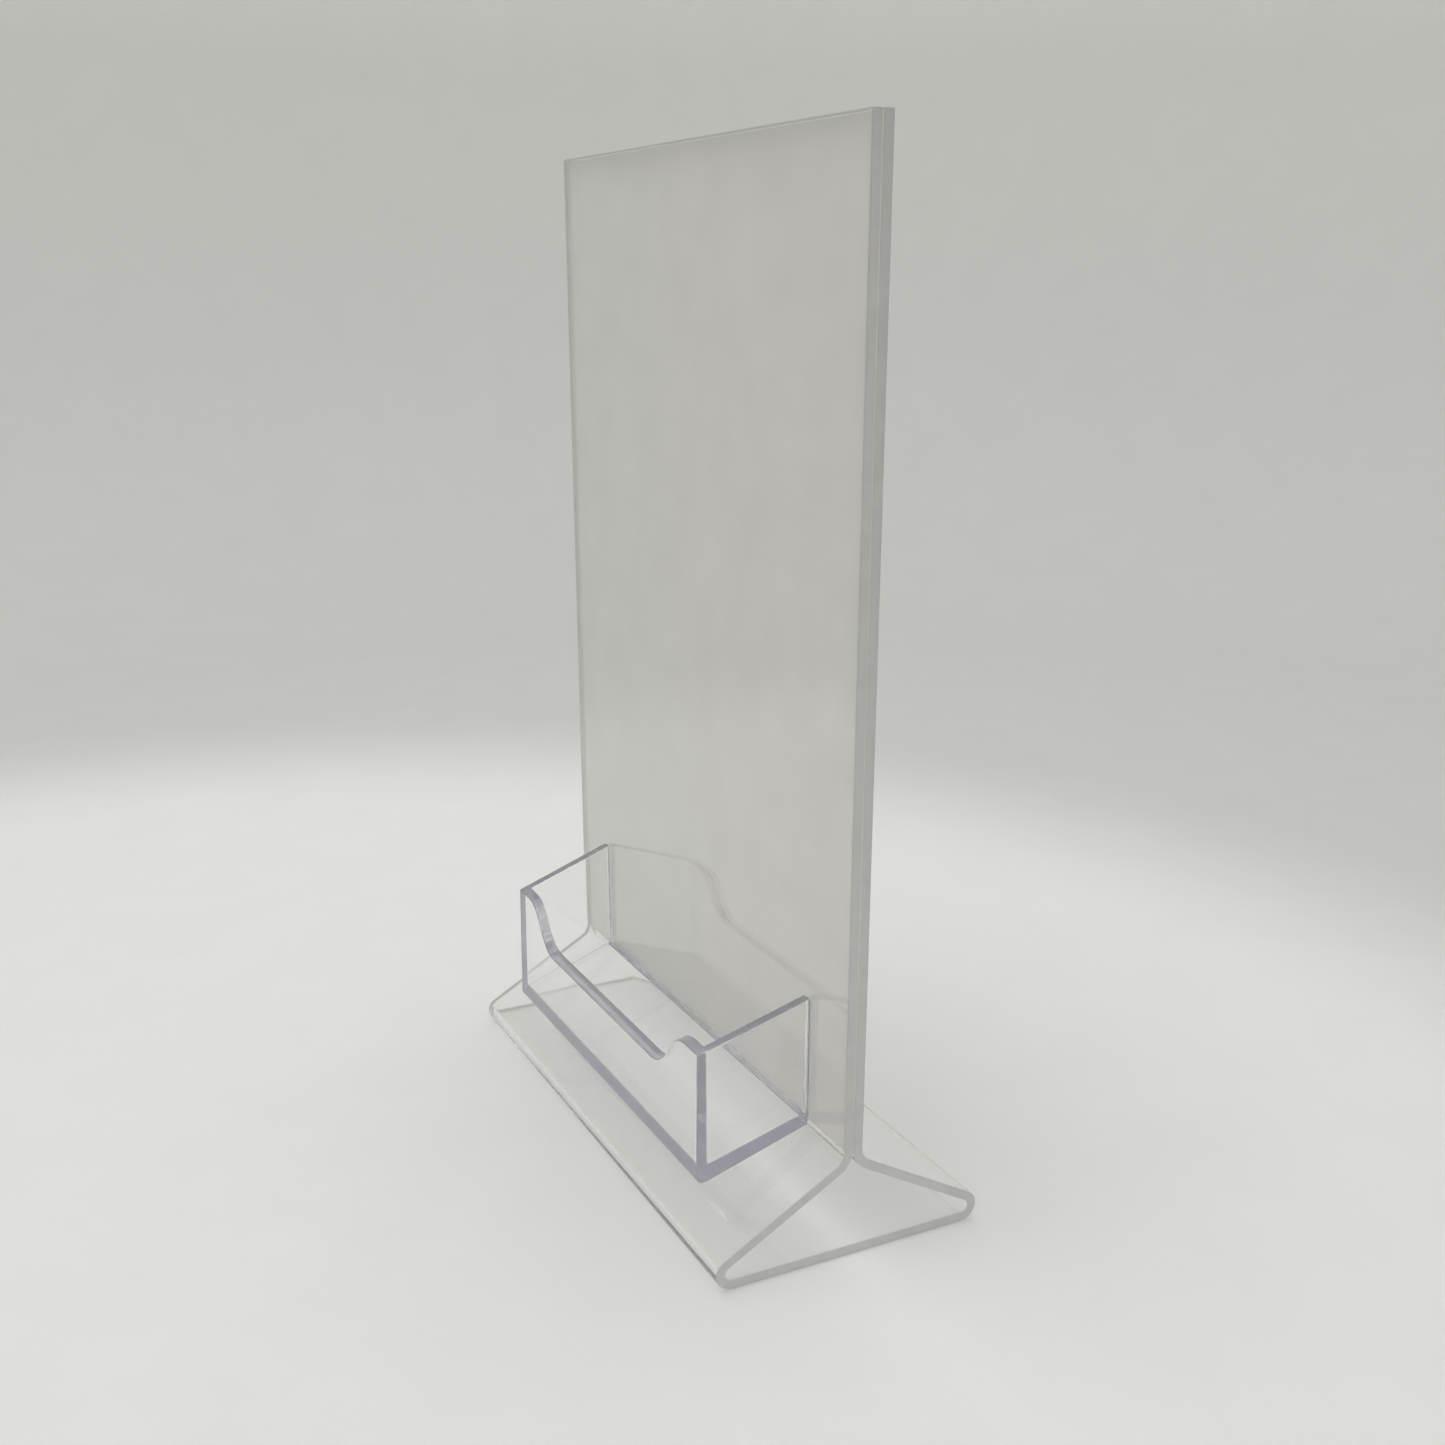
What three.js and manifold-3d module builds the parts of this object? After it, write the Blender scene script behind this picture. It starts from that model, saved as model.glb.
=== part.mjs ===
// A clear tabletop sign holder. One acrylic sheet is bent into two upright panels on a triangular base,
// a moulded business card pocket is glued to the front panel, and a blank insert stands between the panels.
//
// Millimetres, +Z up. The origin is on the table under the middle of the base, and the pocket faces -Y.

import * as THREE from "three";
import { mergeVertices } from "three/addons/utils/BufferGeometryUtils.js";
import Module from "manifold-3d";

const wasm = await Module();
wasm.setup();

// ---- Driving dimensions ----

// The bent sheet. Bend radii are those of the inside face of each bend.
const WIDTH = 127; // along X, for a 5 x 7 in insert
const HEIGHT = 199.7;
const SHEET = 1.88;
const SLOT = 0.24; // between the two panels
// The slot at the sharp corner of the neck. The bend opens above it, so the built slot only closes to
// 0.134, at z = 22.03. That is wider than the insert, so the joint limit stops the insert, not the pinch.
const NECK_SLOT = 0.1;
const PINCH_HEIGHT = 10; // the pinch runs in over this much of the panels' foot
const NECK_Z = 19.6; // corner of panel and ramp, in the middle of the sheet
const RAMP_ANGLE = THREE.MathUtils.degToRad(29.7); // above the table
const NECK_RADIUS = 3.2;
const FOOT_RADIUS = 1.3;

// The card pocket. Its floor and rim rise, and its side walls spread, towards the panel.
const POCKET_WIDTH = 95.6; // across the outside of the front wall
const POCKET_X = 0.6; // middle of the pocket: glued on by hand, not quite centred
const POCKET_DEPTH = 22.8; // from the foot of the front wall to the cement
const POCKET_BOTTOM_Z = 12.85; // at the foot of the front wall
const POCKET_HEIGHT = 27.2;
const POCKET_WALL = 2.2; // the side walls
const POCKET_FRONT_WALL = 2.65; // at its foot
const POCKET_LEAN = THREE.MathUtils.degToRad(1.1); // the front face leans back, so its wall thins upwards
const POCKET_FLOOR = 2.65; // at the front wall
const POCKET_CLIMB = THREE.MathUtils.degToRad(2); // how much steeper the underside is than the floor
const POCKET_RISE = THREE.MathUtils.degToRad(18.5);
const POCKET_DRAFT = THREE.MathUtils.degToRad(4);
const POCKET_KEEL_RADIUS = 1.9; // outside, where the front wall turns into the floor
const POCKET_CORNER_RADIUS = 0.4; // the two lower corners, seen from the front

// The finger cut-out in the pocket's front wall: a level lip between two S-shaped shoulders.
const LIP_Z = 30.7;
const SHOULDER_FLAT = 5.5; // full-height stub at each corner
const SHOULDER_RADIUS = 9;
const SHOULDER_ANGLE = THREE.MathUtils.degToRad(55);

// Cement runs between the pocket's rear edges and the panel.
const CEMENT = 0.3; // thickness
const CEMENT_SPREAD = 0.4; // how much wider a run is than the wall it holds
const CEMENT_BREAK = 0.2; // between neighbouring runs
const CEMENT_FOOT = 0.1; // how far the runs stay above the neck's bend

// The blank insert, a trimmed 5 x 7 in card.
const INSERT_WIDTH = 126.6;
const INSERT_HEIGHT = 177.6;
const INSERT_THICKNESS = 0.12;
const INSERT_FOOT_Z = 21.6; // assumed, just below the narrowest part of the slot

// ---- Derived sizes ----

const PANEL_FACE_Y = -(SLOT / 2 + SHEET); // front face of the front panel
const POCKET_REAR_Y = PANEL_FACE_Y - CEMENT;
const POCKET_FRONT_Y = POCKET_REAR_Y - POCKET_DEPTH;
const POCKET_TOP_Z = POCKET_BOTTOM_Z + POCKET_HEIGHT;
const REAR_RISE = POCKET_DEPTH * Math.tan(POCKET_RISE);
const REAR_CLIMB = POCKET_DEPTH * Math.tan(POCKET_CLIMB);
const REAR_SPREAD = POCKET_DEPTH * Math.tan(POCKET_DRAFT);
const BEND_TOP_Z = NECK_Z + (NECK_RADIUS + SHEET / 2) * Math.tan((Math.PI / 2 - RAMP_ANGLE) / 2);
const CUT = 5; // how far a cutting solid runs past what it cuts

// ---- Materials ----

const clearAcrylic = new THREE.MeshStandardMaterial({
  color: 0xdfe3e1,
  roughness: 0.06,
  metalness: 0,
  transparent: true,
  opacity: 0.4,
});
const clearStyrene = new THREE.MeshStandardMaterial({
  color: 0xd6d6e2,
  roughness: 0.05,
  metalness: 0,
  transparent: true,
  opacity: 0.4,
});
const curedCement = new THREE.MeshStandardMaterial({
  color: 0xc9cacf,
  roughness: 0.25,
  metalness: 0,
  transparent: true,
  opacity: 0.6,
});
const blankCard = new THREE.MeshStandardMaterial({
  color: 0xb9b7b2,
  roughness: 0.85,
  metalness: 0,
});

// ---- Helpers ----

// Maps a shape drawn in (y, z) and extruded towards +Z onto the part's Y, Z and +X.
const SIDE_VIEW = new THREE.Matrix4().makeBasis(
  new THREE.Vector3(0, 1, 0),
  new THREE.Vector3(0, 0, 1),
  new THREE.Vector3(1, 0, 0),
);

// Maps a shape drawn in (x, z) and extruded towards +Z onto the part's X, Z and -Y.
const FRONT_VIEW = new THREE.Matrix4().makeBasis(
  new THREE.Vector3(1, 0, 0),
  new THREE.Vector3(0, 0, 1),
  new THREE.Vector3(0, -1, 0),
);

// A side-view shape as a prism between two values of X.
function prismAlongX(shape, fromX, toX) {
  const prism = new THREE.ExtrudeGeometry(shape, {
    depth: toX - fromX,
    bevelEnabled: false,
    curveSegments: 12,
  });
  return prism.applyMatrix4(SIDE_VIEW).translate(fromX, 0, 0);
}

// A front-view shape as a prism between two values of Y.
function prismAlongY(shape, fromY, toY) {
  const prism = new THREE.ExtrudeGeometry(shape, {
    depth: toY - fromY,
    bevelEnabled: false,
    curveSegments: 12,
  });
  return prism.applyMatrix4(FRONT_VIEW).translate(0, toY, 0);
}

// A geometry as a manifold-3d solid.
function solid(geometry) {
  const bare = geometry.clone();
  bare.deleteAttribute("normal");
  bare.deleteAttribute("uv");
  const merged = mergeVertices(bare, 1e-4);
  const mesh = new wasm.Mesh({
    numProp: 3,
    vertProperties: merged.attributes.position.array,
    triVerts: new Uint32Array(merged.index.array),
  });
  return new wasm.Manifold(mesh);
}

// A manifold-3d solid as a geometry.
function geometryOf(manifold) {
  const mesh = manifold.getMesh();
  const geometry = new THREE.BufferGeometry();
  geometry.setAttribute("position", new THREE.BufferAttribute(mesh.vertProperties, 3));
  geometry.setIndex(new THREE.BufferAttribute(mesh.triVerts, 1));
  geometry.computeVertexNormals();
  return geometry;
}

function namedMesh(name, geometry, material) {
  const mesh = new THREE.Mesh(geometry, material);
  mesh.name = name;
  return mesh;
}

// ---- The bent sheet ----

// Each inner corner of a route of { at, radius } as a bend in the middle of the sheet: the angles where it
// starts and ends round its centre, and a turn of +1 to the left or -1 to the right. A corner with no
// radius stays sharp. inwards points from the corner to a place one unit from both runs.
function bendsOf(route) {
  return route.slice(1, -1).map(({ at, radius }, i) => {
    const back = route[i].at.clone().sub(at).normalize();
    const ahead = route[i + 2].at.clone().sub(at).normalize();
    const half = Math.acos(back.dot(ahead)) / 2;
    const inwards = back.clone().add(ahead).setLength(1 / Math.sin(half));
    const centre = at.clone().addScaledVector(inwards, radius);
    const start = at.clone().addScaledVector(back, radius / Math.tan(half));
    const end = at.clone().addScaledVector(ahead, radius / Math.tan(half));
    return {
      centre,
      radius,
      inwards,
      from: start.sub(centre).angle(),
      to: end.sub(centre).angle(),
      turn: Math.sign(ahead.cross(back)),
    };
  });
}

// Adds a bend's left face to a section where offset is positive, or its right face where it is negative.
function addFace(section, bend, offset, forwards) {
  const { centre, radius, inwards, turn } = bend;
  const from = forwards ? bend.from : bend.to;
  const to = forwards ? bend.to : bend.from;
  if (radius === 0) {
    const mitre = centre.clone().addScaledVector(inwards, turn * offset);
    section.lineTo(mitre.x, mitre.y);
  } else {
    section.absarc(centre.x, centre.y, radius - turn * offset, from, to, forwards === turn < 0);
  }
}

// The closed section of a sheet that follows a route, along its left face and back along its right face.
// The route starts straight down and ends straight up.
function bentSection(route, thickness) {
  const half = thickness / 2;
  const bends = bendsOf(route);
  const first = route[0].at;
  const last = route[route.length - 1].at;
  const section = new THREE.Shape();
  section.moveTo(first.x + half, first.y);
  bends.forEach((bend) => addFace(section, bend, half, true));
  section.lineTo(last.x - half, last.y);
  section.lineTo(last.x + half, last.y);
  bends.toReversed().forEach((bend) => addFace(section, bend, -half, false));
  section.lineTo(first.x - half, first.y);
  return section;
}

// The front half of the middle of the sheet, from the front panel's top edge down to the front foot.
function frontRoute() {
  const panelY = -(SLOT + SHEET) / 2;
  const neckY = -(NECK_SLOT + SHEET) / 2;
  const footY = neckY - (NECK_Z - SHEET / 2) / Math.tan(RAMP_ANGLE);
  return [
    { at: new THREE.Vector2(panelY, HEIGHT), radius: 0 },
    { at: new THREE.Vector2(panelY, NECK_Z + PINCH_HEIGHT), radius: 0 },
    { at: new THREE.Vector2(neckY, NECK_Z), radius: NECK_RADIUS + SHEET / 2 },
    { at: new THREE.Vector2(footY, SHEET / 2), radius: FOOT_RADIUS + SHEET / 2 },
  ];
}

function holderSheet() {
  const front = frontRoute();
  const back = front.toReversed().map(({ at, radius }) => {
    return { at: new THREE.Vector2(-at.x, at.y), radius };
  });
  const section = bentSection([...front, ...back], SHEET);
  return namedMesh("holder_sheet", prismAlongX(section, -WIDTH / 2, WIDTH / 2), clearAcrylic);
}

// ---- The card pocket ----

// The pocket's outline from the front: a wide U whose inner edge is the lip and its two shoulders.
function pocketFrontView() {
  const half = POCKET_WIDTH / 2;
  const corner = POCKET_CORNER_RADIUS;
  const r = SHOULDER_RADIUS;
  const sine = Math.sin(SHOULDER_ANGLE);
  const cosine = Math.cos(SHOULDER_ANGLE);
  const straight = (POCKET_TOP_Z - LIP_Z - 2 * r * (1 - cosine)) / sine;
  const crest = half - SHOULDER_FLAT; // where a shoulder starts to fall
  const lip = crest - 2 * r * sine - straight * cosine; // where it reaches the lip
  const up = Math.PI / 2;
  const outline = new THREE.Shape();
  outline.moveTo(half, POCKET_BOTTOM_Z + corner);
  outline.lineTo(half, POCKET_TOP_Z);
  outline.absarc(crest, POCKET_TOP_Z - r, r, up, up + SHOULDER_ANGLE, false);
  outline.absarc(lip, LIP_Z + r, r, SHOULDER_ANGLE - up, -up, true);
  outline.absarc(-lip, LIP_Z + r, r, -up, -up - SHOULDER_ANGLE, true);
  outline.absarc(-crest, POCKET_TOP_Z - r, r, up - SHOULDER_ANGLE, up, false);
  outline.lineTo(-half, POCKET_TOP_Z);
  outline.absarc(corner - half, POCKET_BOTTOM_Z + corner, corner, Math.PI, 1.5 * Math.PI, false);
  outline.absarc(half - corner, POCKET_BOTTOM_Z + corner, corner, -up, 0, false);
  return outline;
}

// A side view that runs past the pocket upwards and backwards: a front face, a rounded keel and a floor.
function keelSideView({ frontY, lean, floorZ, climb, radius }) {
  const rearY = POCKET_REAR_Y + CUT;
  const topZ = POCKET_TOP_Z + CUT;
  const top = new THREE.Vector2(frontY + (topZ - floorZ) * Math.tan(lean), topZ);
  const foot = new THREE.Vector2(frontY, floorZ);
  const rear = new THREE.Vector2(rearY, floorZ + (rearY - frontY) * Math.tan(climb));
  const [keel] = bendsOf([{ at: top }, { at: foot, radius }, { at: rear }]);
  const outline = new THREE.Shape();
  outline.moveTo(rearY, topZ);
  outline.lineTo(top.x, top.y);
  addFace(outline, keel, 0, true);
  outline.lineTo(rear.x, rear.y);
  return outline;
}

// Raises and spreads a point of the straight-sided pocket as the mould's draft and slope do.
function drawTowardsPanel(position) {
  const half = POCKET_WIDTH / 2;
  for (let i = 0; i < position.count; i++) {
    const run = position.getY(i) - POCKET_FRONT_Y;
    const spread = 1 + (run * Math.tan(POCKET_DRAFT)) / half;
    position.setX(i, POCKET_X + position.getX(i) * spread);
    position.setZ(i, position.getZ(i) + run * Math.tan(POCKET_RISE));
  }
}

function cardPocket() {
  const half = POCKET_WIDTH / 2;
  const block = solid(prismAlongY(pocketFrontView(), POCKET_FRONT_Y, POCKET_REAR_Y));
  const keel = keelSideView({
    frontY: POCKET_FRONT_Y,
    lean: POCKET_LEAN,
    floorZ: POCKET_BOTTOM_Z,
    climb: POCKET_CLIMB,
    radius: POCKET_KEEL_RADIUS,
  });
  const cavity = keelSideView({
    frontY: POCKET_FRONT_Y + POCKET_FRONT_WALL,
    lean: 0,
    floorZ: POCKET_BOTTOM_Z + POCKET_FLOOR,
    climb: 0,
    radius: POCKET_KEEL_RADIUS / 3,
  });
  const shell = block
    .intersect(solid(prismAlongX(keel, -half - CUT, half + CUT)))
    .subtract(solid(prismAlongX(cavity, POCKET_WALL - half, half - POCKET_WALL)));
  const geometry = geometryOf(shell);
  drawTowardsPanel(geometry.attributes.position);
  geometry.computeVertexNormals();
  return namedMesh("card_pocket", geometry, clearStyrene);
}

// ---- The cement ----

function cementRun(name, width, height, x, z) {
  const run = namedMesh(name, new THREE.BoxGeometry(width, CEMENT, height), curedCement);
  run.position.set(x, PANEL_FACE_Y - CEMENT / 2, z);
  return run;
}

// One run behind each side wall, and one behind the floor between them. They start on the flat of the
// panel, just above the bend at its foot.
function cementRuns() {
  const rearBottom = POCKET_BOTTOM_Z + REAR_RISE + REAR_CLIMB;
  const rearTop = POCKET_TOP_Z + REAR_RISE;
  const floorTop = POCKET_BOTTOM_Z + REAR_RISE + POCKET_FLOOR;
  const foot = Math.max(rearBottom, BEND_TOP_Z + CEMENT_FOOT);
  const sideWidth = POCKET_WALL + CEMENT_SPREAD;
  const sideX = POCKET_WIDTH / 2 + REAR_SPREAD - POCKET_WALL / 2;
  const sideHeight = rearTop - foot;
  const sideZ = (rearTop + foot) / 2;
  const floorWidth = 2 * sideX - sideWidth - 2 * CEMENT_BREAK;
  const floorHeight = floorTop + CEMENT_SPREAD - foot;
  return [
    cementRun("cement_left", sideWidth, sideHeight, POCKET_X - sideX, sideZ),
    cementRun("cement_right", sideWidth, sideHeight, POCKET_X + sideX, sideZ),
    cementRun("cement_floor", floorWidth, floorHeight, POCKET_X, foot + floorHeight / 2),
  ];
}

// ---- The insert ----

function insertSheet() {
  const card = new THREE.BoxGeometry(INSERT_WIDTH, INSERT_THICKNESS, INSERT_HEIGHT);
  const insert = namedMesh("insert_sheet", card, blankCard);
  insert.position.z = INSERT_FOOT_Z + INSERT_HEIGHT / 2;
  return insert;
}

// ---- Assembly ----

const signHolder = new THREE.Group();
signHolder.add(holderSheet(), cardPocket(), ...cementRuns(), insertSheet());

export default signHolder;
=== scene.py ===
import math

import bmesh
import bpy
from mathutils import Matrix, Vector, noise


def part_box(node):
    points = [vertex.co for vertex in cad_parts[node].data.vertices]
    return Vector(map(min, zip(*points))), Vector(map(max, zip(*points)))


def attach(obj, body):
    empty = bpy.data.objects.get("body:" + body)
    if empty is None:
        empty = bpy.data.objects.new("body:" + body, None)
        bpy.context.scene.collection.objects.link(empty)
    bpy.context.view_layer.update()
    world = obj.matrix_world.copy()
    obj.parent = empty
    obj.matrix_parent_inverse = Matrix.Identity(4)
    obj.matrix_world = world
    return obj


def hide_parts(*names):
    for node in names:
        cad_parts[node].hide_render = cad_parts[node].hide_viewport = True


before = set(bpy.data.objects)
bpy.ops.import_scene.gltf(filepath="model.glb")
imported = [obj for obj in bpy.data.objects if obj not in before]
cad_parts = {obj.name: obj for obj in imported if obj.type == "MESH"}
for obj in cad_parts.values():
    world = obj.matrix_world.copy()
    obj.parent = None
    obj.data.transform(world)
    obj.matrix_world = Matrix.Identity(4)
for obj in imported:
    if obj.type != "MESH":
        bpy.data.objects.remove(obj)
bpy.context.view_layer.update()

# A clear tabletop sign holder: one bent acrylic sheet, a moulded card pocket cemented to its front panel,
# and a blank insert in the slot between the panels. Metres, +Z up, the pocket faces -Y.

MM = 0.001

# ---- Sizes from the frame ----

SHEET_LOW, SHEET_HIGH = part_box("holder_sheet")
POCKET_LOW, POCKET_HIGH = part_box("card_pocket")
INSERT_LOW, INSERT_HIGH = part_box("insert_sheet")
_, FLOOR_RUN_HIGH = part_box("cement_floor")

WIDTH = SHEET_HIGH.x - SHEET_LOW.x
HEIGHT = SHEET_HIGH.z
PANEL_FACE_Y = FLOOR_RUN_HIGH.y  # the cement lies against the front panel
POCKET_REAR_Y = POCKET_HIGH.y
POCKET_X = (POCKET_LOW.x + POCKET_HIGH.x) / 2

# ---- Shape of the bent sheet, as in the CAD ----

SLOT = 0.24 * MM  # between the two panels
SHEET = -PANEL_FACE_Y - SLOT / 2
# The slot at the sharp corner of the neck. The bend opens above it, so the slot itself only closes to
# 0.134 mm, which is wider than the insert.
NECK_SLOT = 0.1 * MM
PINCH_HEIGHT = 10 * MM  # the slot narrows over this much of the panels' foot
PINCH_RADIUS = 60 * MM  # bend of a panel where its slope begins
NECK_Z = 19.6 * MM  # corner of panel and ramp, in the middle of the sheet
RAMP_ANGLE = math.radians(29.7)  # above the table
NECK_RADIUS = 3.2 * MM + SHEET / 2
FOOT_RADIUS = 1.3 * MM + SHEET / 2
SHEET_EDGE = 0.22 * MM  # rounding along every edge of the sheet
MERGE_DISTANCE = 0.0001 * MM

# ---- Shape of the pocket, as in the CAD ----

POCKET_DEPTH = 22.8 * MM
POCKET_HEIGHT = 27.2 * MM
POCKET_RISE = math.radians(18.5)  # of the rim and the floor towards the panel
POCKET_CLIMB = math.radians(2)  # extra, of the underside only
POCKET_LEAN = math.radians(1.1)  # of the outside of the front wall
POCKET_DRAFT = math.radians(4)  # spread of the side walls towards the panel
POCKET_WALL = 2.2 * MM
POCKET_FRONT_WALL = 2.65 * MM
POCKET_FLOOR = 2.65 * MM
KEEL_RADIUS = 1.9 * MM
INNER_KEEL_RADIUS = KEEL_RADIUS / 3
KEEL_STEPS = 10
LIP_DROP = 9.35 * MM
SHOULDER_FLAT = 5.5 * MM
SHOULDER_RADIUS = 9 * MM
SHOULDER_ANGLE = math.radians(55)
SHOULDER_STEPS = 14
SHOULDER_LINE_STEPS = 6
POCKET_WIDTH = POCKET_HIGH.x - POCKET_LOW.x - 2 * POCKET_DEPTH * math.tan(POCKET_DRAFT)
POCKET_FRONT_Y = POCKET_REAR_Y - POCKET_DEPTH
POCKET_TOP_Z = POCKET_HIGH.z - POCKET_DEPTH * math.tan(POCKET_RISE)
POCKET_BOTTOM_Z = POCKET_TOP_Z - POCKET_HEIGHT
POCKET_EDGE = 0.22 * MM  # rounding along the pocket's outer edges
INNER_FILLET = 0.25 * MM
ROUND_SEGMENTS = 4
ROUND_ABOVE = math.radians(35)  # flatter edges are left as they are
OVERSHOOT = 5 * MM  # how far a cutting shape runs past the pocket
REAR_SPARE = 1 * MM  # length behind the pocket, cut off at the end
RIPPLE = 0.2 * MM  # unevenness of the left shoulder's edge
RIPPLE_STEPS = 30
RIPPLE_WAVES = ((7, 2.3, 1), (17, 8.1, 0.5))  # waves along the edge, row of the noise, height


# ---- Mesh helpers ----

SHARP_ANGLE = math.radians(50)


def add_object(name, mesh, materials):
    """A mesh as an object of the scene, shaded smooth. Large faces keep their own normal, so that clear
    flat walls stay flat up to the rounding at their edges."""
    for polygon in mesh.polygons:
        polygon.use_smooth = True
    mesh.set_sharp_from_angle(angle=SHARP_ANGLE)
    for material in materials:
        mesh.materials.append(material)
    piece = bpy.data.objects.new(name, mesh)
    bpy.context.scene.collection.objects.link(piece)
    flatten = piece.modifiers.new("flat_faces", "WEIGHTED_NORMAL")
    flatten.mode = "FACE_AREA"
    flatten.keep_sharp = True
    apply_modifiers(piece)
    return piece


def apply_modifiers(target):
    """Makes the shape that the modifiers give the object's own mesh."""
    graph = bpy.context.evaluated_depsgraph_get()
    made = bpy.data.meshes.new_from_object(target.evaluated_get(graph))
    target.modifiers.clear()
    target.data = made


def arc(centre, radius, start, end, steps):
    """Points of an arc in a plane, both ends included."""
    angles = [start + (end - start) * i / steps for i in range(steps + 1)]
    return [(centre[0] + radius * math.cos(a), centre[1] + radius * math.sin(a)) for a in angles]


# ---- The bent sheet ----

STRAIGHT_STEP = 4 * MM
BEND_STEP = math.radians(6)
EDGE_STEPS = 3
SHEET_COLUMNS = 30


def sheet_route():
    """The middle of the sheet as (point in Y and Z, bend radius), front panel first."""
    panel_y = -(SLOT + SHEET) / 2
    neck_y = -(NECK_SLOT + SHEET) / 2
    foot_y = neck_y - (NECK_Z - SHEET / 2) / math.tan(RAMP_ANGLE)
    front = [
        (Vector((panel_y, HEIGHT - SHEET_EDGE)), 0),
        (Vector((panel_y, NECK_Z + PINCH_HEIGHT)), PINCH_RADIUS),
        (Vector((neck_y, NECK_Z)), NECK_RADIUS),
        (Vector((foot_y, SHEET / 2)), FOOT_RADIUS),
    ]
    back = [(Vector((-point.x, point.y)), radius) for point, radius in reversed(front)]
    return front + back


def stations(route):
    """Points along a route with bends, each with its direction of travel."""
    found = []

    def straight(start, end):
        count = max(1, round((end - start).length / STRAIGHT_STEP))
        ahead = (end - start).normalized()
        for i in range(count + 1):
            found.append((start.lerp(end, i / count), ahead))

    reached = route[0][0]
    for i in range(1, len(route) - 1):
        corner, radius = route[i]
        arriving = (corner - route[i - 1][0]).normalized()
        leaving = (route[i + 1][0] - corner).normalized()
        turn = math.atan2(arriving.cross(leaving), arriving.dot(leaving))
        tangent = radius * math.tan(abs(turn) / 2)
        start = corner - arriving * tangent
        straight(reached, start)
        side = math.copysign(1, turn)
        normal = Vector((-arriving.y, arriving.x)) * side
        centre = start + normal * radius
        count = max(2, round(abs(turn) / BEND_STEP))
        for k in range(1, count):
            angle = turn * k / count
            cosine, sine = math.cos(angle), math.sin(angle)
            spoke = -normal * radius
            spoke = Vector((spoke.x * cosine - spoke.y * sine, spoke.x * sine + spoke.y * cosine))
            ahead = Vector(
                (arriving.x * cosine - arriving.y * sine, arriving.x * sine + arriving.y * cosine)
            )
            found.append((centre + spoke, ahead))
        reached = corner + leaving * tangent
    straight(reached, route[-1][0])
    return found


def sheet_ring(line, inset):
    """The closed section of the sheet, drawn in by inset, with its four corners rounded."""
    core = SHEET / 2 - SHEET_EDGE
    round_off = SHEET_EDGE - inset

    def at(station, along, across):
        point, ahead = station
        return point + ahead * along + Vector((-ahead.y, ahead.x)) * across

    first, last = line[0], line[-1]
    quarter = [math.pi / 2 * k / EDGE_STEPS for k in range(EDGE_STEPS + 1)]
    ring = [at(s, 0, core + round_off) for s in line]
    ring += [at(last, round_off * math.sin(a), core + round_off * math.cos(a)) for a in quarter[1:]]
    ring += [at(last, round_off * math.cos(a), -core - round_off * math.sin(a)) for a in quarter[:-1]]
    ring += [at(s, 0, -core - round_off) for s in reversed(line)]
    ring += [at(first, -round_off * math.sin(a), -core - round_off * math.cos(a)) for a in quarter[1:]]
    ring += [at(first, -round_off * math.cos(a), core + round_off * math.sin(a)) for a in quarter[:-1]]
    return ring


def bent_sheet(materials):
    """The sheet as one closed mesh: rings of its section from end to end, closed by two sawn faces. Its
    broad faces take the first material, and its cut edges the second."""
    line = stations(sheet_route())
    half = WIDTH / 2
    edge = [math.pi / 2 * k / EDGE_STEPS for k in range(EDGE_STEPS + 1)]
    left = []
    for a in reversed(edge):
        left.append((-half + SHEET_EDGE * (1 - math.sin(a)), SHEET_EDGE * (1 - math.cos(a))))
    middle = [
        (-half + SHEET_EDGE + (WIDTH - 2 * SHEET_EDGE) * k / SHEET_COLUMNS, 0)
        for k in range(1, SHEET_COLUMNS)
    ]
    right = [(-x, inset) for x, inset in reversed(left)]
    columns = left + middle + right
    mesh = bpy.data.meshes.new("bent_sheet")
    form = bmesh.new()
    rings = []
    for x, inset in columns:
        rings.append([form.verts.new((x, p.x, p.y)) for p in sheet_ring(line, inset)])
    size = len(rings[0])
    sides = len(line)
    for c in range(len(rings) - 1):
        at_end = c < EDGE_STEPS or c >= len(rings) - 1 - EDGE_STEPS
        for i in range(size):
            j = (i + 1) % size
            face = form.faces.new((rings[c][i], rings[c][j], rings[c + 1][j], rings[c + 1][i]))
            on_face = i < sides - 1 or sides + 2 * EDGE_STEPS <= i < 2 * sides + 2 * EDGE_STEPS - 1
            face.material_index = 0 if on_face and not at_end else 1
    far = sides + 2 * EDGE_STEPS
    for ring, flip in ((rings[0], False), (rings[-1], True)):
        for i in range(sides - 1):
            quad = [ring[i], ring[far + sides - 1 - i], ring[far + sides - 2 - i], ring[i + 1]]
            face = form.faces.new(quad if not flip else quad[::-1])
            face.material_index = 1
    bmesh.ops.remove_doubles(form, verts=form.verts, dist=MERGE_DISTANCE)
    bmesh.ops.recalc_face_normals(form, faces=form.faces)
    form.to_mesh(mesh)
    form.free()
    piece = add_object("bent_sheet", mesh, materials)
    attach(piece, "holder")
    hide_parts("holder_sheet")
    return piece


# ---- The card pocket ----


def prism(name, outline, place, low, high):
    """A prism over an outline. place maps (a, b, depth) to a point."""
    mesh = bpy.data.meshes.new(name)
    form = bmesh.new()
    near = [form.verts.new(place(a, b, low)) for a, b in outline]
    far = [form.verts.new(place(a, b, high)) for a, b in outline]
    form.faces.new(near)
    form.faces.new(far[::-1])
    for i in range(len(outline)):
        j = (i + 1) % len(outline)
        form.faces.new((near[i], near[j], far[j], far[i]))
    bmesh.ops.recalc_face_normals(form, faces=form.faces)
    form.to_mesh(mesh)
    form.free()
    solid = bpy.data.objects.new(name, mesh)
    bpy.context.scene.collection.objects.link(solid)
    return solid


def from_front(a, b, depth):
    return (a, depth, b)


def from_side(a, b, depth):
    return (depth, a, b)


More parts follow.
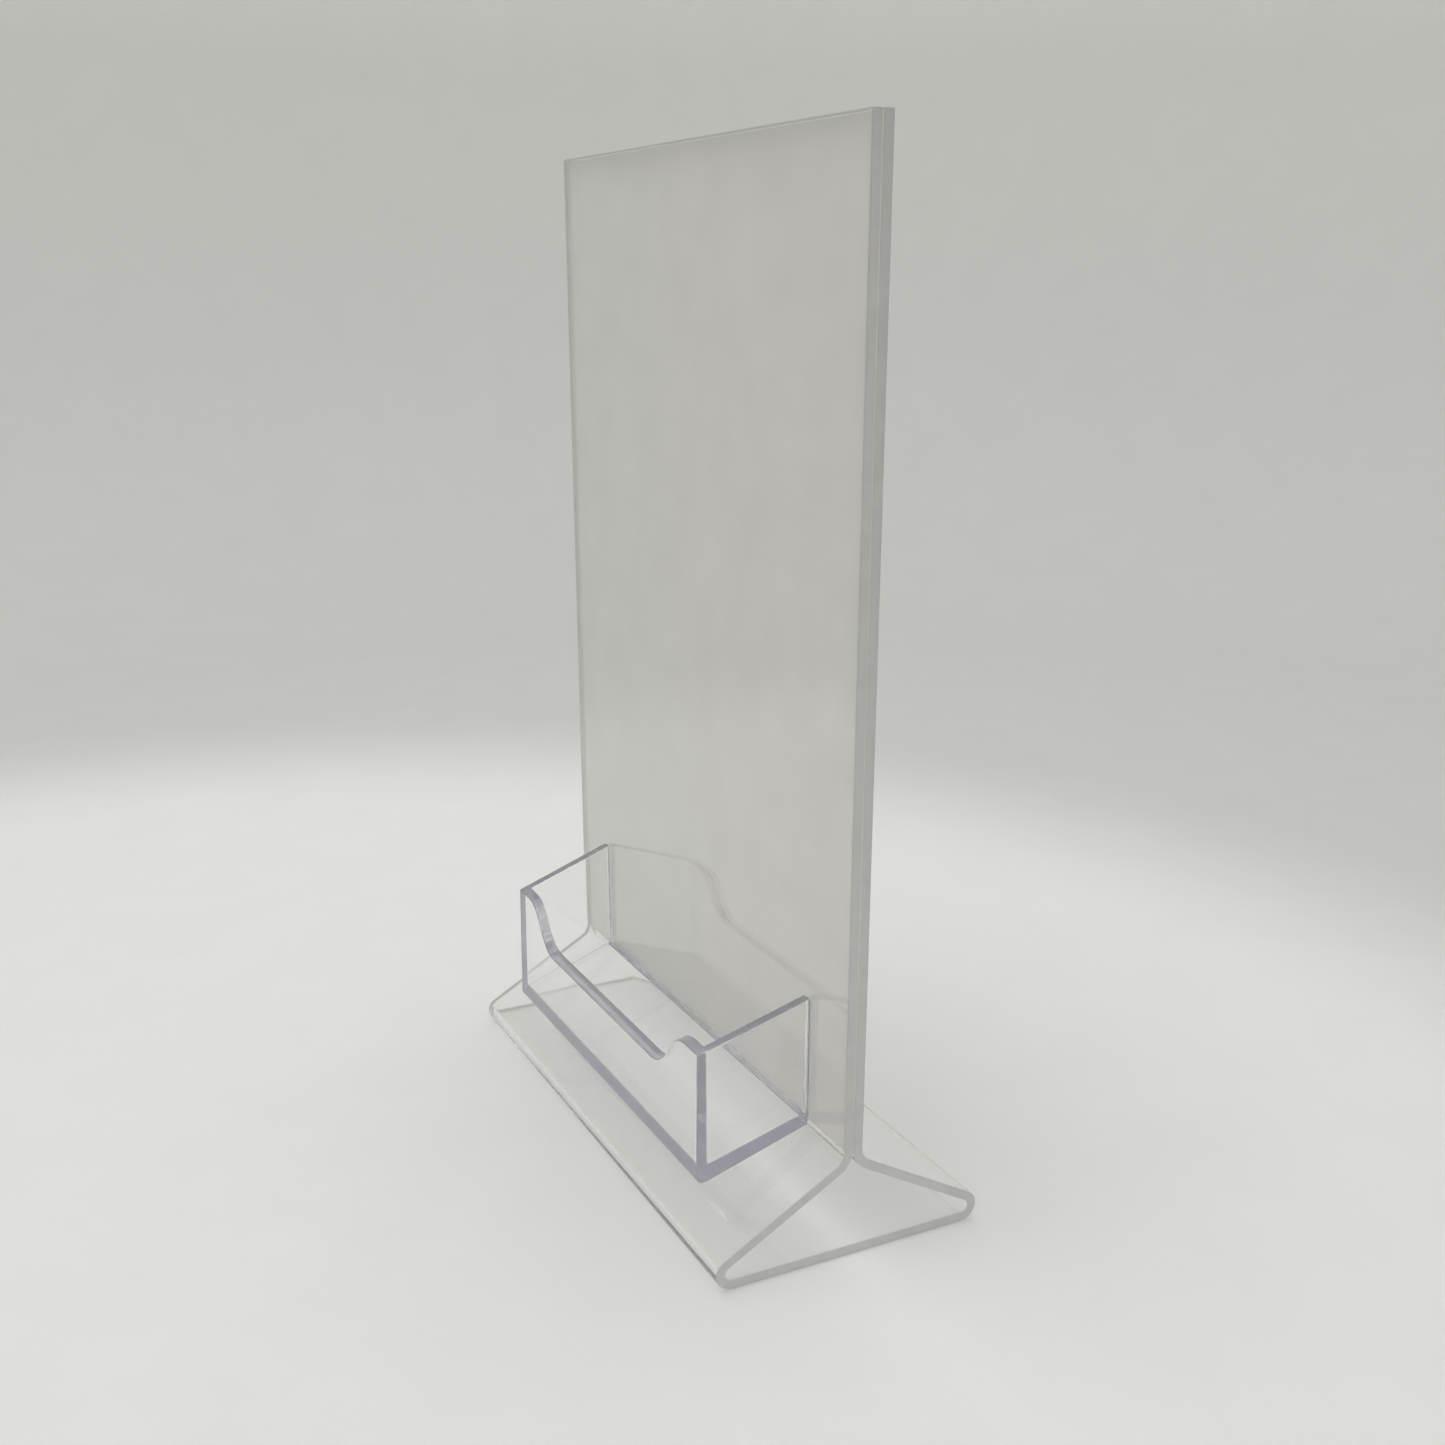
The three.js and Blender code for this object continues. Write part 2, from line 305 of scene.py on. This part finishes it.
def combine(target, tool, operation):
    """Cuts tool out of target, or keeps only what they share, and removes the tool."""
    step = target.modifiers.new("combine", "BOOLEAN")
    step.object = tool
    step.operation = operation
    step.solver = "EXACT"
    apply_modifiers(target)
    bpy.data.objects.remove(tool)


def shoulder(steps, ripple):
    """One S-shaped shoulder of the rim, from its crest down to the lip, with its edge rippled a little."""
    half = POCKET_WIDTH / 2
    lip_z = POCKET_TOP_Z - LIP_DROP
    r = SHOULDER_RADIUS
    sine, cosine = math.sin(SHOULDER_ANGLE), math.cos(SHOULDER_ANGLE)
    run = (LIP_DROP - 2 * r * (1 - cosine)) / sine
    crest = half - SHOULDER_FLAT
    lip = crest - 2 * r * sine - run * cosine
    up = math.pi / 2
    fall = arc((crest, POCKET_TOP_Z - r), r, up, up + SHOULDER_ANGLE, steps)
    foot = arc((lip, lip_z + r), r, SHOULDER_ANGLE - up, -up, steps)
    between = []
    for k in range(1, SHOULDER_LINE_STEPS):
        between.append(Vector(fall[-1]).lerp(Vector(foot[0]), k / SHOULDER_LINE_STEPS))
    smooth = fall + [tuple(point) for point in between] + foot
    rippled = []
    for i, (x, z) in enumerate(smooth):
        share = i / (len(smooth) - 1)
        wave = 0
        for waves, row, height in RIPPLE_WAVES:
            wave += height * noise.noise(Vector((share * waves, row, 0)))
        rippled.append((x, z + ripple * wave * math.sin(math.pi * share) ** 0.5))
    return rippled


def pocket_outline():
    """The pocket from the front: a box with a lip between two S-shaped shoulders, the left one rippled."""
    half = POCKET_WIDTH / 2
    right = [(half, POCKET_BOTTOM_Z), (half, POCKET_TOP_Z)] + shoulder(SHOULDER_STEPS, 0)
    left = [(half, POCKET_BOTTOM_Z), (half, POCKET_TOP_Z)] + shoulder(RIPPLE_STEPS, RIPPLE)
    return right + [(-x, z) for x, z in reversed(left)]


def keel_outline(front_y, lean, floor_z, climb, radius):
    """A side view that runs past the pocket upwards and backwards: front face, rounded keel and floor."""
    rear_y = POCKET_REAR_Y + OVERSHOOT
    top_z = POCKET_TOP_Z + OVERSHOOT
    top = Vector((front_y + (top_z - floor_z) * math.tan(lean), top_z))
    foot = Vector((front_y, floor_z))
    rear = Vector((rear_y, floor_z + (rear_y - front_y) * math.tan(climb)))
    back = (top - foot).normalized()
    ahead = (rear - foot).normalized()
    half = back.angle(ahead) / 2
    centre = foot + (back + ahead).normalized() * radius / math.sin(half)
    start = foot + back * radius / math.tan(half) - centre
    first = math.atan2(start.y, start.x)
    keel = arc(centre, radius, first, first + math.pi - 2 * half, KEEL_STEPS)
    return [(rear_y, top_z), tuple(top)] + keel + [tuple(rear)]


def draw_towards_panel(mesh):
    """Raises and spreads the straight-sided pocket as the mould's slope and draft do."""
    half = POCKET_WIDTH / 2
    for vertex in mesh.vertices:
        run = vertex.co.y - POCKET_FRONT_Y
        vertex.co.x = POCKET_X + vertex.co.x * (1 + run * math.tan(POCKET_DRAFT) / half)
        vertex.co.z += run * math.tan(POCKET_RISE)


def round_edges(piece, width):
    bevel = piece.modifiers.new("edges", "BEVEL")
    bevel.width = width
    bevel.segments = ROUND_SEGMENTS
    bevel.limit_method = "ANGLE"
    bevel.angle_limit = ROUND_ABOVE
    bevel.miter_outer = "MITER_ARC"
    apply_modifiers(piece)


def cut_rear(mesh):
    """Cuts the pocket off square at its rear, where the cement meets it."""
    form = bmesh.new()
    form.from_mesh(mesh)
    everything = form.verts[:] + form.edges[:] + form.faces[:]
    cut = bmesh.ops.bisect_plane(
        form, geom=everything, plane_co=(0, POCKET_REAR_Y, 0), plane_no=(0, 1, 0), clear_outer=True
    )
    rim = [item for item in cut["geom_cut"] if isinstance(item, bmesh.types.BMEdge)]
    bmesh.ops.edgenet_fill(form, edges=rim)
    bmesh.ops.recalc_face_normals(form, faces=form.faces)
    form.to_mesh(mesh)
    form.free()


def card_pocket(materials):
    """The pocket, moulded in one: a block with a rounded keel, hollowed out, then sloped and drafted."""
    half = POCKET_WIDTH / 2
    rear = POCKET_REAR_Y + REAR_SPARE
    block = prism("pocket_block", pocket_outline(), from_front, POCKET_FRONT_Y, rear)
    keel = keel_outline(POCKET_FRONT_Y, POCKET_LEAN, POCKET_BOTTOM_Z, POCKET_CLIMB, KEEL_RADIUS)
    combine(block, prism("keel", keel, from_side, -half - OVERSHOOT, half + OVERSHOOT), "INTERSECT")
    inner = half - POCKET_WALL
    floor = POCKET_BOTTOM_Z + POCKET_FLOOR
    hollow = keel_outline(POCKET_FRONT_Y + POCKET_FRONT_WALL, 0, floor, 0, INNER_KEEL_RADIUS)
    cavity = prism("cavity", hollow, from_side, -inner, inner)
    round_edges(cavity, INNER_FILLET)
    combine(block, cavity, "DIFFERENCE")
    draw_towards_panel(block.data)
    round_edges(block, POCKET_EDGE)
    mesh = block.data
    bpy.data.objects.remove(block)
    cut_rear(mesh)
    piece = add_object("moulded_pocket", mesh, materials)
    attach(piece, "holder")
    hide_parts("card_pocket")
    return piece


# ---- The cement ----

CEMENT_STEP = 0.35 * MM
CEMENT_BITE = 0.02 * MM  # how far the cement wets into each face, so no air film is left
CEMENT_WAVE = 0.1 * MM
CEMENT_BLOB = 0.2 * MM
CEMENT_DRAW = 0.12 * MM  # how far a run's edge draws back where it doesn't bulge
CEMENT_SAG = 0.7 * MM  # how far the runs hang into the start of the neck's bend
CEMENT_WAVES = 900  # a higher number crowds the small waves together
CEMENT_BLOBS = 260  # the same, for the blobs
CEMENT_BLOB_GAIN = 1.6
CEMENT_SIDE_ROW = 7  # keeps the two edges of a run apart in the noise
CEMENT_BLOB_ROW = 5  # keeps blobs and waves apart in the noise
CEMENT_LAYERS = (-1, -0.6, 0.6, 1)  # through the thickness of a run
CEMENT_SKIN_WIDTH = 0.94  # width of the outer layers against the inner ones
CEMENT_END_POWER = 24  # higher makes a run's ends squarer
CEMENT_END_WIDTH = 0.05  # width of a run at its very ends
ALONG_X, ALONG_Z = 0, 2


def cement_run(node, along, seed, material):
    """A squeezed-out run of cement: a thin ribbon along one axis, whose two edges wander and bulge."""
    low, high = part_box(node)
    low.z -= CEMENT_SAG
    half = (high - low) / 2
    middle = (high + low) / 2
    across = ALONG_Z if along == ALONG_X else ALONG_X
    length = half[along]
    count = round(2 * length / CEMENT_STEP)
    mesh = bpy.data.meshes.new(node + "_run")
    form = bmesh.new()
    rings = []
    for i in range(count + 1):
        share = i / count
        place = middle.copy()
        place[along] += (2 * share - 1) * length
        taper = math.sqrt(max(0.0, 1 - (2 * abs(share - 0.5)) ** CEMENT_END_POWER))
        taper = max(taper, CEMENT_END_WIDTH)
        ring = []
        for side in (-1, 1):
            row = side * CEMENT_SIDE_ROW + seed
            ripple = noise.noise(Vector((share * length * CEMENT_WAVES, row, 0)))
            swell = noise.noise(Vector((share * length * CEMENT_BLOBS, row, CEMENT_BLOB_ROW)))
            blob = max(0, swell) * CEMENT_BLOB_GAIN
            wander = CEMENT_WAVE * ripple + CEMENT_BLOB * blob - CEMENT_DRAW
            reach = (half[across] + wander) * taper
            for depth in CEMENT_LAYERS if side < 0 else reversed(CEMENT_LAYERS):
                bulge = 1 if abs(depth) < 1 else CEMENT_SKIN_WIDTH
                point = place.copy()
                point[across] += side * reach * bulge
                point.y = middle.y + depth * (half.y + CEMENT_BITE)
                ring.append(form.verts.new(point))
        rings.append(ring)
    for a, b in zip(rings, rings[1:]):
        for i in range(len(a)):
            j = (i + 1) % len(a)
            form.faces.new((a[i], a[j], b[j], b[i]))
    form.faces.new(rings[0])
    form.faces.new(rings[-1][::-1])
    bmesh.ops.recalc_face_normals(form, faces=form.faces)
    form.to_mesh(mesh)
    form.free()
    piece = add_object(node + "_run", mesh, [material])
    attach(piece, "holder")
    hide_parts(node)
    return piece


# ---- The insert ----

INSERT_COLUMNS, INSERT_ROWS = 40, 56
INSERT_SHARE = 0.98  # of the thickness in the CAD, to keep clear of the panels
COCKLE = 0.05 * MM
COCKLE_FREE = 20 * MM  # height above the foot where the cockle is fully grown
COCKLE_ACROSS, COCKLE_UP, COCKLE_ROW = 30, 22, 3  # place in the noise


def insert_card(material):
    """The blank insert as a thin closed card with a slight cockle."""
    mesh = bpy.data.meshes.new("blank_insert")
    form = bmesh.new()
    half = (INSERT_HIGH.y - INSERT_LOW.y) / 2
    sides = []
    for side in (-1, 1):
        grid = []
        for r in range(INSERT_ROWS + 1):
            z = INSERT_LOW.z + (INSERT_HIGH.z - INSERT_LOW.z) * r / INSERT_ROWS
            row = []
            for c in range(INSERT_COLUMNS + 1):
                x = INSERT_LOW.x + (INSERT_HIGH.x - INSERT_LOW.x) * c / INSERT_COLUMNS
                free = min(1, (z - INSERT_LOW.z) / COCKLE_FREE)
                cockle = noise.noise(Vector((x * COCKLE_ACROSS, z * COCKLE_UP, COCKLE_ROW))) * COCKLE * free
                row.append(form.verts.new((x, side * half * INSERT_SHARE + cockle, z)))
            grid.append(row)
        sides.append(grid)
    for grid, flip in ((sides[0], False), (sides[1], True)):
        for r in range(INSERT_ROWS):
            for c in range(INSERT_COLUMNS):
                quad = [grid[r][c], grid[r][c + 1], grid[r + 1][c + 1], grid[r + 1][c]]
                form.faces.new(quad[::-1] if flip else quad)
    front, back = sides
    rim = [(0, c) for c in range(INSERT_COLUMNS)]
    rim += [(r, INSERT_COLUMNS) for r in range(INSERT_ROWS)]
    rim += [(INSERT_ROWS, c) for c in range(INSERT_COLUMNS, 0, -1)]
    rim += [(r, 0) for r in range(INSERT_ROWS, 0, -1)]
    for (r0, c0), (r1, c1) in zip(rim, rim[1:] + rim[:1]):
        form.faces.new((front[r0][c0], back[r0][c0], back[r1][c1], front[r1][c1]))
    bmesh.ops.recalc_face_normals(form, faces=form.faces)
    form.to_mesh(mesh)
    form.free()
    piece = add_object("blank_insert", mesh, [material])
    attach(piece, "insert")
    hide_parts("insert_sheet")
    return piece


# ---- Materials ----


class Nodes:
    """A short way to build a node tree: each call adds a node, sets its values and links its inputs."""

    def __init__(self, tree):
        self.tree = tree
        tree.nodes.clear()

    def add(self, kind, settings=None, **inputs):
        node = self.tree.nodes.new(kind)
        for name, value in (settings or {}).items():
            setattr(node, name, value)
        for name, value in inputs.items():
            socket = node.inputs[int(name[1:])] if name[0] == "_" else node.inputs[name.replace("_", " ")]
            if isinstance(value, bpy.types.NodeSocket):
                self.tree.links.new(value, socket)
            else:
                socket.default_value = value
        return node


def new_material(name):
    material = bpy.data.materials.new(name)
    material.use_nodes = True
    return material, Nodes(material.node_tree)


def waviness(n, scale, detail, strength, distance):
    """A bump from soft noise in the object's own coordinates."""
    place = n.add("ShaderNodeTexCoord").outputs["Object"]
    cloud = n.add("ShaderNodeTexNoise", Vector=place, Scale=scale, Detail=detail)
    return n.add(
        "ShaderNodeBump", Strength=strength, Distance=distance, Height=cloud.outputs[0]
    ).outputs["Normal"]


ACRYLIC_IOR = 1.49
GUIDED_RAMP = 0.1  # how gradually the guided light's haze sets in past the critical angle
WAVINESS_DEPTH = 0.4 * MM


def guided_light(n, ior, amount):
    """How much haze a face shows: amount where light inside the solid is totally reflected, none elsewhere.
    A face seen straight through is met more steeply than the critical angle, so it stays clear."""
    edge_on = 1 - math.sqrt(1 - 1 / ior**2)
    inside = n.add("ShaderNodeNewGeometry").outputs["Backfacing"]
    slant = n.add("ShaderNodeLayerWeight", Blend=0.5).outputs["Facing"]
    guided = n.add(
        "ShaderNodeMapRange",
        Value=slant,
        From_Min=edge_on,
        From_Max=edge_on + GUIDED_RAMP,
        To_Min=0.0,
        To_Max=amount,
    )
    return n.add("ShaderNodeMath", {"operation": "MULTIPLY"}, _0=inside, _1=guided.outputs[0]).outputs[0]


def clear_plastic(name, colour, ior, roughness, lamp_tint, haze, haze_tint, guided, relief):
    """A clear solid with a faint haze on its faces, and more where light is guided along inside it, which
    tints its edges. Light from lamps and from matt surfaces passes straight through it, tinted."""
    material, n = new_material(name)
    normal = relief(n)
    clear = n.add(
        "ShaderNodeBsdfPrincipled",
        Base_Color=(*colour, 1),
        Roughness=roughness,
        IOR=ior,
        Transmission_Weight=1.0,
        Normal=normal,
    )
    skin = n.add("ShaderNodeBsdfDiffuse", Color=(*haze_tint, 1), Normal=normal)
    amount = n.add("ShaderNodeMath", {"operation": "ADD"}, _0=haze, _1=guided_light(n, ior, guided))
    body = n.add("ShaderNodeMixShader", _0=amount.outputs[0], _1=clear.outputs[0], _2=skin.outputs[0])
    through = n.add("ShaderNodeBsdfTransparent", Color=(*lamp_tint, 1))
    path = n.add("ShaderNodeLightPath")
    lit = n.add(
        "ShaderNodeMath",
        {"operation": "MAXIMUM"},
        _0=path.outputs["Is Shadow Ray"],
        _1=path.outputs["Is Diffuse Ray"],
    )
    mix = n.add("ShaderNodeMixShader", _0=lit.outputs[0], _1=body.outputs[0], _2=through.outputs[0])
    n.add("ShaderNodeOutputMaterial", Surface=mix.outputs[0])
    return material


def acrylic():
    return clear_plastic(
        "clear_acrylic",
        colour=(0.995, 1.0, 0.995),
        ior=ACRYLIC_IOR,
        roughness=0.0,
        lamp_tint=(0.975, 0.977, 0.975),
        haze=0.02,
        haze_tint=(0.70, 0.71, 0.69),
        guided=0.0,
        relief=lambda n: waviness(n, scale=18.0, detail=1.0, strength=0.02, distance=WAVINESS_DEPTH),
    )


def styrene():
    return clear_plastic(
        "clear_styrene",
        colour=(1.0, 1.0, 1.0),
        ior=1.59,
        roughness=0.0,
        lamp_tint=(0.97, 0.97, 0.975),
        haze=0.006,
        haze_tint=(0.45, 0.44, 0.52),
        guided=0.24,
        relief=lambda n: waviness(n, scale=40.0, detail=1.0, strength=0.02, distance=WAVINESS_DEPTH),
    )


def cement():
    return clear_plastic(
        "cured_cement",
        colour=(0.97, 0.97, 0.97),
        ior=1.48,
        roughness=0.06,
        lamp_tint=(0.93, 0.93, 0.93),
        haze=0.05,
        haze_tint=(0.6, 0.6, 0.62),
        guided=0.0,
        relief=lambda n: waviness(n, scale=700.0, detail=3.0, strength=0.15, distance=0.3 * MM),
    )


EDGE_PAINTED_LIGHT_FOOT_Z = HEIGHT * 0.3  # below this the sawn edges are painted lightest, as painted light bounced up from the table
# painted light: the edges' tone is scaled by the first factor at the foot and by the second at the top
EDGE_PAINTED_LIGHT_LOW = 1.14
EDGE_PAINTED_LIGHT_HIGH = 0.95
GLOW_SHARE = 0.35  # how much of a sawn edge's surface passes light on from inside, the rest being satin skin


def sawn_edge():
    """The sheet's cut edges: a satin skin that glows with the light inside the sheet, with painted light
    making them lighter lower down.
    """
    material, n = new_material("sawn_edge")
    place = n.add("ShaderNodeTexCoord").outputs["Object"]
    cloud = n.add("ShaderNodeTexNoise", Vector=place, Scale=260.0, Detail=4.0)
    grey = n.add(
        "ShaderNodeMapRange", Value=cloud.outputs[0], From_Min=0.3, From_Max=0.7, To_Min=0.52, To_Max=0.58
    )
    height = n.add("ShaderNodeSeparateXYZ", Vector=place).outputs["Z"]
    # painted light: the edges grow lighter towards the foot, standing in for light bounced up from the table
    edge_painted_light = n.add(
        "ShaderNodeMapRange",
        Value=height,
        From_Min=EDGE_PAINTED_LIGHT_FOOT_Z,
        From_Max=HEIGHT,
        To_Min=EDGE_PAINTED_LIGHT_LOW,
        To_Max=EDGE_PAINTED_LIGHT_HIGH,
    )
    tone = n.add(
        "ShaderNodeMath", {"operation": "MULTIPLY"}, _0=grey.outputs[0], _1=edge_painted_light.outputs[0]
    ).outputs[0]
    tint = n.add("ShaderNodeCombineColor", Red=tone, Green=tone, Blue=tone)
    bump = n.add("ShaderNodeBump", Strength=0.1, Distance=0.2 * MM, Height=cloud.outputs[0])
    skin = n.add(
        "ShaderNodeBsdfPrincipled",
        Base_Color=tint.outputs[0],
        Roughness=0.45,
        IOR=ACRYLIC_IOR,
        Normal=bump.outputs[0],
    )
    glow = n.add("ShaderNodeBsdfTranslucent", Color=(0.8, 0.8, 0.79, 1), Normal=bump.outputs[0])
    mix = n.add("ShaderNodeMixShader", _0=GLOW_SHARE, _1=skin.outputs[0], _2=glow.outputs[0])
    n.add("ShaderNodeOutputMaterial", Surface=mix.outputs[0])
    return material


CARD_LEFT = (0.765, 0.755, 0.73, 1)
CARD_RIGHT = (0.785, 0.755, 0.735, 1)


def card():
    """Blank card: soft blotches, greener on the left and pinker on the right."""
    material, n = new_material("blank_card")
    place = n.add("ShaderNodeTexCoord").outputs["Object"]
    across = n.add("ShaderNodeSeparateXYZ", Vector=place)
    side = n.add(
        "ShaderNodeMapRange", Value=across.outputs["X"], From_Min=-WIDTH / 3, From_Max=WIDTH / 2.2,
        To_Min=0.0, To_Max=1.0,
    )
    tone = n.add(
        "ShaderNodeMix", {"data_type": "RGBA"}, _0=side.outputs[0],
        _6=CARD_LEFT, _7=CARD_RIGHT,
    )
    blotch = n.add("ShaderNodeTexNoise", Vector=place, Scale=70.0, Detail=5.0, Roughness=0.6)
    depth = n.add(
        "ShaderNodeMapRange", Value=blotch.outputs[0], From_Min=0.35, From_Max=0.65, To_Min=0.965, To_Max=1.03
    )
    shade = n.add("ShaderNodeVectorMath", {"operation": "SCALE"}, _0=tone.outputs[2], Scale=depth.outputs[0])
    fibre = n.add("ShaderNodeTexNoise", Vector=place, Scale=900.0, Detail=4.0)
    bump = n.add("ShaderNodeBump", Strength=0.1, Distance=0.1 * MM, Height=fibre.outputs[0])
    body = n.add(
        "ShaderNodeBsdfPrincipled", Base_Color=shade.outputs[0], Roughness=0.35, Normal=bump.outputs[0]
    )
    n.add("ShaderNodeOutputMaterial", Surface=body.outputs[0])
    return material


# ---- Stage, light and camera ----

FLOOR_GAP = 0.06 * MM  # the film of air under the base
LIGHT_POOL_CENTRE = Vector((0, -0.12))  # middle of the painted pool of light on the floor
LIGHT_POOL_NEAR = 0.27  # the painted pool of light is at full strength up to this distance
LIGHT_POOL_FAR = 0.40  # and has faded into the floor's grey at this one
# painted pool of light: the floor's colour in the middle of the pool, paler than its own grey
LIGHT_POOL_COLOUR = (0.80, 0.80, 0.785, 1)
FLOOR_COLOUR = (0.60, 0.597, 0.58, 1)
BOWL_RADIUS = 0.80
BOWL_SWEEP = 0.30
BOWL_HEIGHT = 1.10
BOWL_SIDES = 96
BOWL_SWEEP_STEPS = 24
WALL_PAINTED_LIGHT_FOOT_Z = 0.12  # painted light: the wall is painted lighter upwards from here
WALL_PAINTED_LIGHT_Z = 0.42  # up to here
WALL_PAINTED_LIGHT = 1.22  # by this factor
CEILING_PLACE = (-0.1, -0.1, 1.3)
CEILING_SIZE = 1.3
CEILING_POWER = 9.5
ROOM_COLOUR = (0.97, 0.98, 1.0, 1)
ROOM_LIGHT = 0.355
CLEAR_BOUNCES = 40  # light crosses many clear faces
GLOSSY_BOUNCES = 16
TRANSPARENT_BOUNCES = 32


def stage():
    """A grey floor with a painted pool of light fading into it; the floor sweeps up all round into a wall
    painted lighter towards the top.
    """
    material, n = new_material("backdrop")
    place = n.add("ShaderNodeTexCoord").outputs["Object"]
    axes = n.add("ShaderNodeSeparateXYZ", Vector=place)
    flat = n.add("ShaderNodeCombineXYZ", X=axes.outputs["X"], Y=axes.outputs["Y"])
    # painted pool of light: the floor is paler near the holder and fades to its own grey further out
    reach = n.add(
        "ShaderNodeVectorMath", {"operation": "DISTANCE"}, _0=flat.outputs[0], _1=(*LIGHT_POOL_CENTRE, 0)
    )
    fade = n.add(
        "ShaderNodeMapRange", {"interpolation_type": "SMOOTHSTEP"}, Value=reach.outputs["Value"],
        From_Min=LIGHT_POOL_NEAR, From_Max=LIGHT_POOL_FAR, To_Min=0.0, To_Max=1.0,
    )
    tone = n.add(
        "ShaderNodeMix", {"data_type": "RGBA"}, _0=fade.outputs[0],
        _6=LIGHT_POOL_COLOUR, _7=FLOOR_COLOUR,
    )
    cloud = n.add("ShaderNodeTexNoise", Vector=place, Scale=40.0, Detail=5.0)
    depth = n.add(
        "ShaderNodeMapRange", Value=cloud.outputs[0], From_Min=0.3, From_Max=0.7, To_Min=0.99, To_Max=1.01
    )
    # painted light: the wall grows lighter towards the top, as if lit more there
    wall_painted_light = n.add(
        "ShaderNodeMapRange", {"interpolation_type": "SMOOTHSTEP"}, Value=axes.outputs["Z"],
        From_Min=WALL_PAINTED_LIGHT_FOOT_Z, From_Max=WALL_PAINTED_LIGHT_Z, To_Min=1.0, To_Max=WALL_PAINTED_LIGHT,
    )
    blotch_and_painted_light = n.add("ShaderNodeMath", {"operation": "MULTIPLY"}, _0=depth.outputs[0], _1=wall_painted_light.outputs[0])
    shade = n.add("ShaderNodeVectorMath", {"operation": "SCALE"}, _0=tone.outputs[2], Scale=blotch_and_painted_light.outputs[0])
    body = n.add("ShaderNodeBsdfPrincipled", Base_Color=shade.outputs[0], Roughness=0.7)
    n.add("ShaderNodeOutputMaterial", Surface=body.outputs[0])
    foot = BOWL_RADIUS - BOWL_SWEEP
    profile = [(foot / 2, 0)] + arc((foot, BOWL_SWEEP), BOWL_SWEEP, -math.pi / 2, 0, BOWL_SWEEP_STEPS)
    profile.append((BOWL_RADIUS, BOWL_HEIGHT))
    mesh = bpy.data.meshes.new("backdrop")
    form = bmesh.new()
    rings = []
    angles = [2 * math.pi * k / BOWL_SIDES for k in range(BOWL_SIDES)]
    for radius, height in profile:
        points = [(radius * math.cos(a), radius * math.sin(a), height - FLOOR_GAP) for a in angles]
        rings.append([form.verts.new(p) for p in points])
    form.faces.new(rings[0])
    for inner, outer in zip(rings, rings[1:]):
        for i in range(BOWL_SIDES):
            j = (i + 1) % BOWL_SIDES
            form.faces.new((inner[i], inner[j], outer[j], outer[i]))
    form.to_mesh(mesh)
    form.free()
    add_object("backdrop", mesh, [material])


def soft_lamp(name, place, target, size, power):
    data = bpy.data.lights.new(name, "AREA")
    data.shape = "SQUARE"
    data.size = size
    data.energy = power
    lamp = bpy.data.objects.new(name, data)
    lamp.location = place
    lamp.rotation_euler = (Vector(target) - Vector(place)).to_track_quat("-Z", "Y").to_euler()
    bpy.context.scene.collection.objects.link(lamp)


def light():
    """One large soft lamp overhead, in a pale even room."""
    soft_lamp("ceiling", CEILING_PLACE, (0, 0, 0), CEILING_SIZE, CEILING_POWER)
    world = bpy.data.worlds.new("room")
    bpy.context.scene.world = world
    world.use_nodes = True
    n = Nodes(world.node_tree)
    glow = n.add("ShaderNodeBackground", Color=ROOM_COLOUR, Strength=ROOM_LIGHT)
    n.add("ShaderNodeOutputWorld", Surface=glow.outputs[0])
    view = bpy.context.scene.view_settings
    view.view_transform = "Standard"
    view.look = "None"
    cycles = bpy.context.scene.cycles
    cycles.max_bounces = CLEAR_BOUNCES
    cycles.transmission_bounces = CLEAR_BOUNCES
    cycles.glossy_bounces = GLOSSY_BOUNCES
    cycles.transparent_max_bounces = TRANSPARENT_BOUNCES


CAMERA_PLACE = Vector((0.28826, -0.13997, 0.17478))
CAMERA_PITCH = math.radians(18.572)  # looking down
CAMERA_TURN = math.radians(63.355)  # round from +Y towards -X
CAMERA_LENS = 40.14
CAMERA_SENSOR = 36
CAMERA_SHIFT = 0.0693


def camera():
    data = bpy.data.cameras.new("camera")
    data.lens = CAMERA_LENS
    data.sensor_width = CAMERA_SENSOR
    data.shift_y = CAMERA_SHIFT
    data.clip_start = 0.01
    data.clip_end = 20
    eye = bpy.data.objects.new("camera", data)
    eye.location = CAMERA_PLACE
    eye.rotation_euler = (math.pi / 2 - CAMERA_PITCH, 0, CAMERA_TURN)
    bpy.context.scene.collection.objects.link(eye)
    bpy.context.scene.camera = eye


# ---- Scene ----

clear_acrylic = acrylic()
bent_sheet([clear_acrylic, sawn_edge()])
card_pocket([styrene()])
cured_cement = cement()
cement_run("cement_left", ALONG_Z, seed=11, material=cured_cement)
cement_run("cement_right", ALONG_Z, seed=23, material=cured_cement)
cement_run("cement_floor", ALONG_X, seed=37, material=cured_cement)
insert_card(card())
stage()
light()
camera()
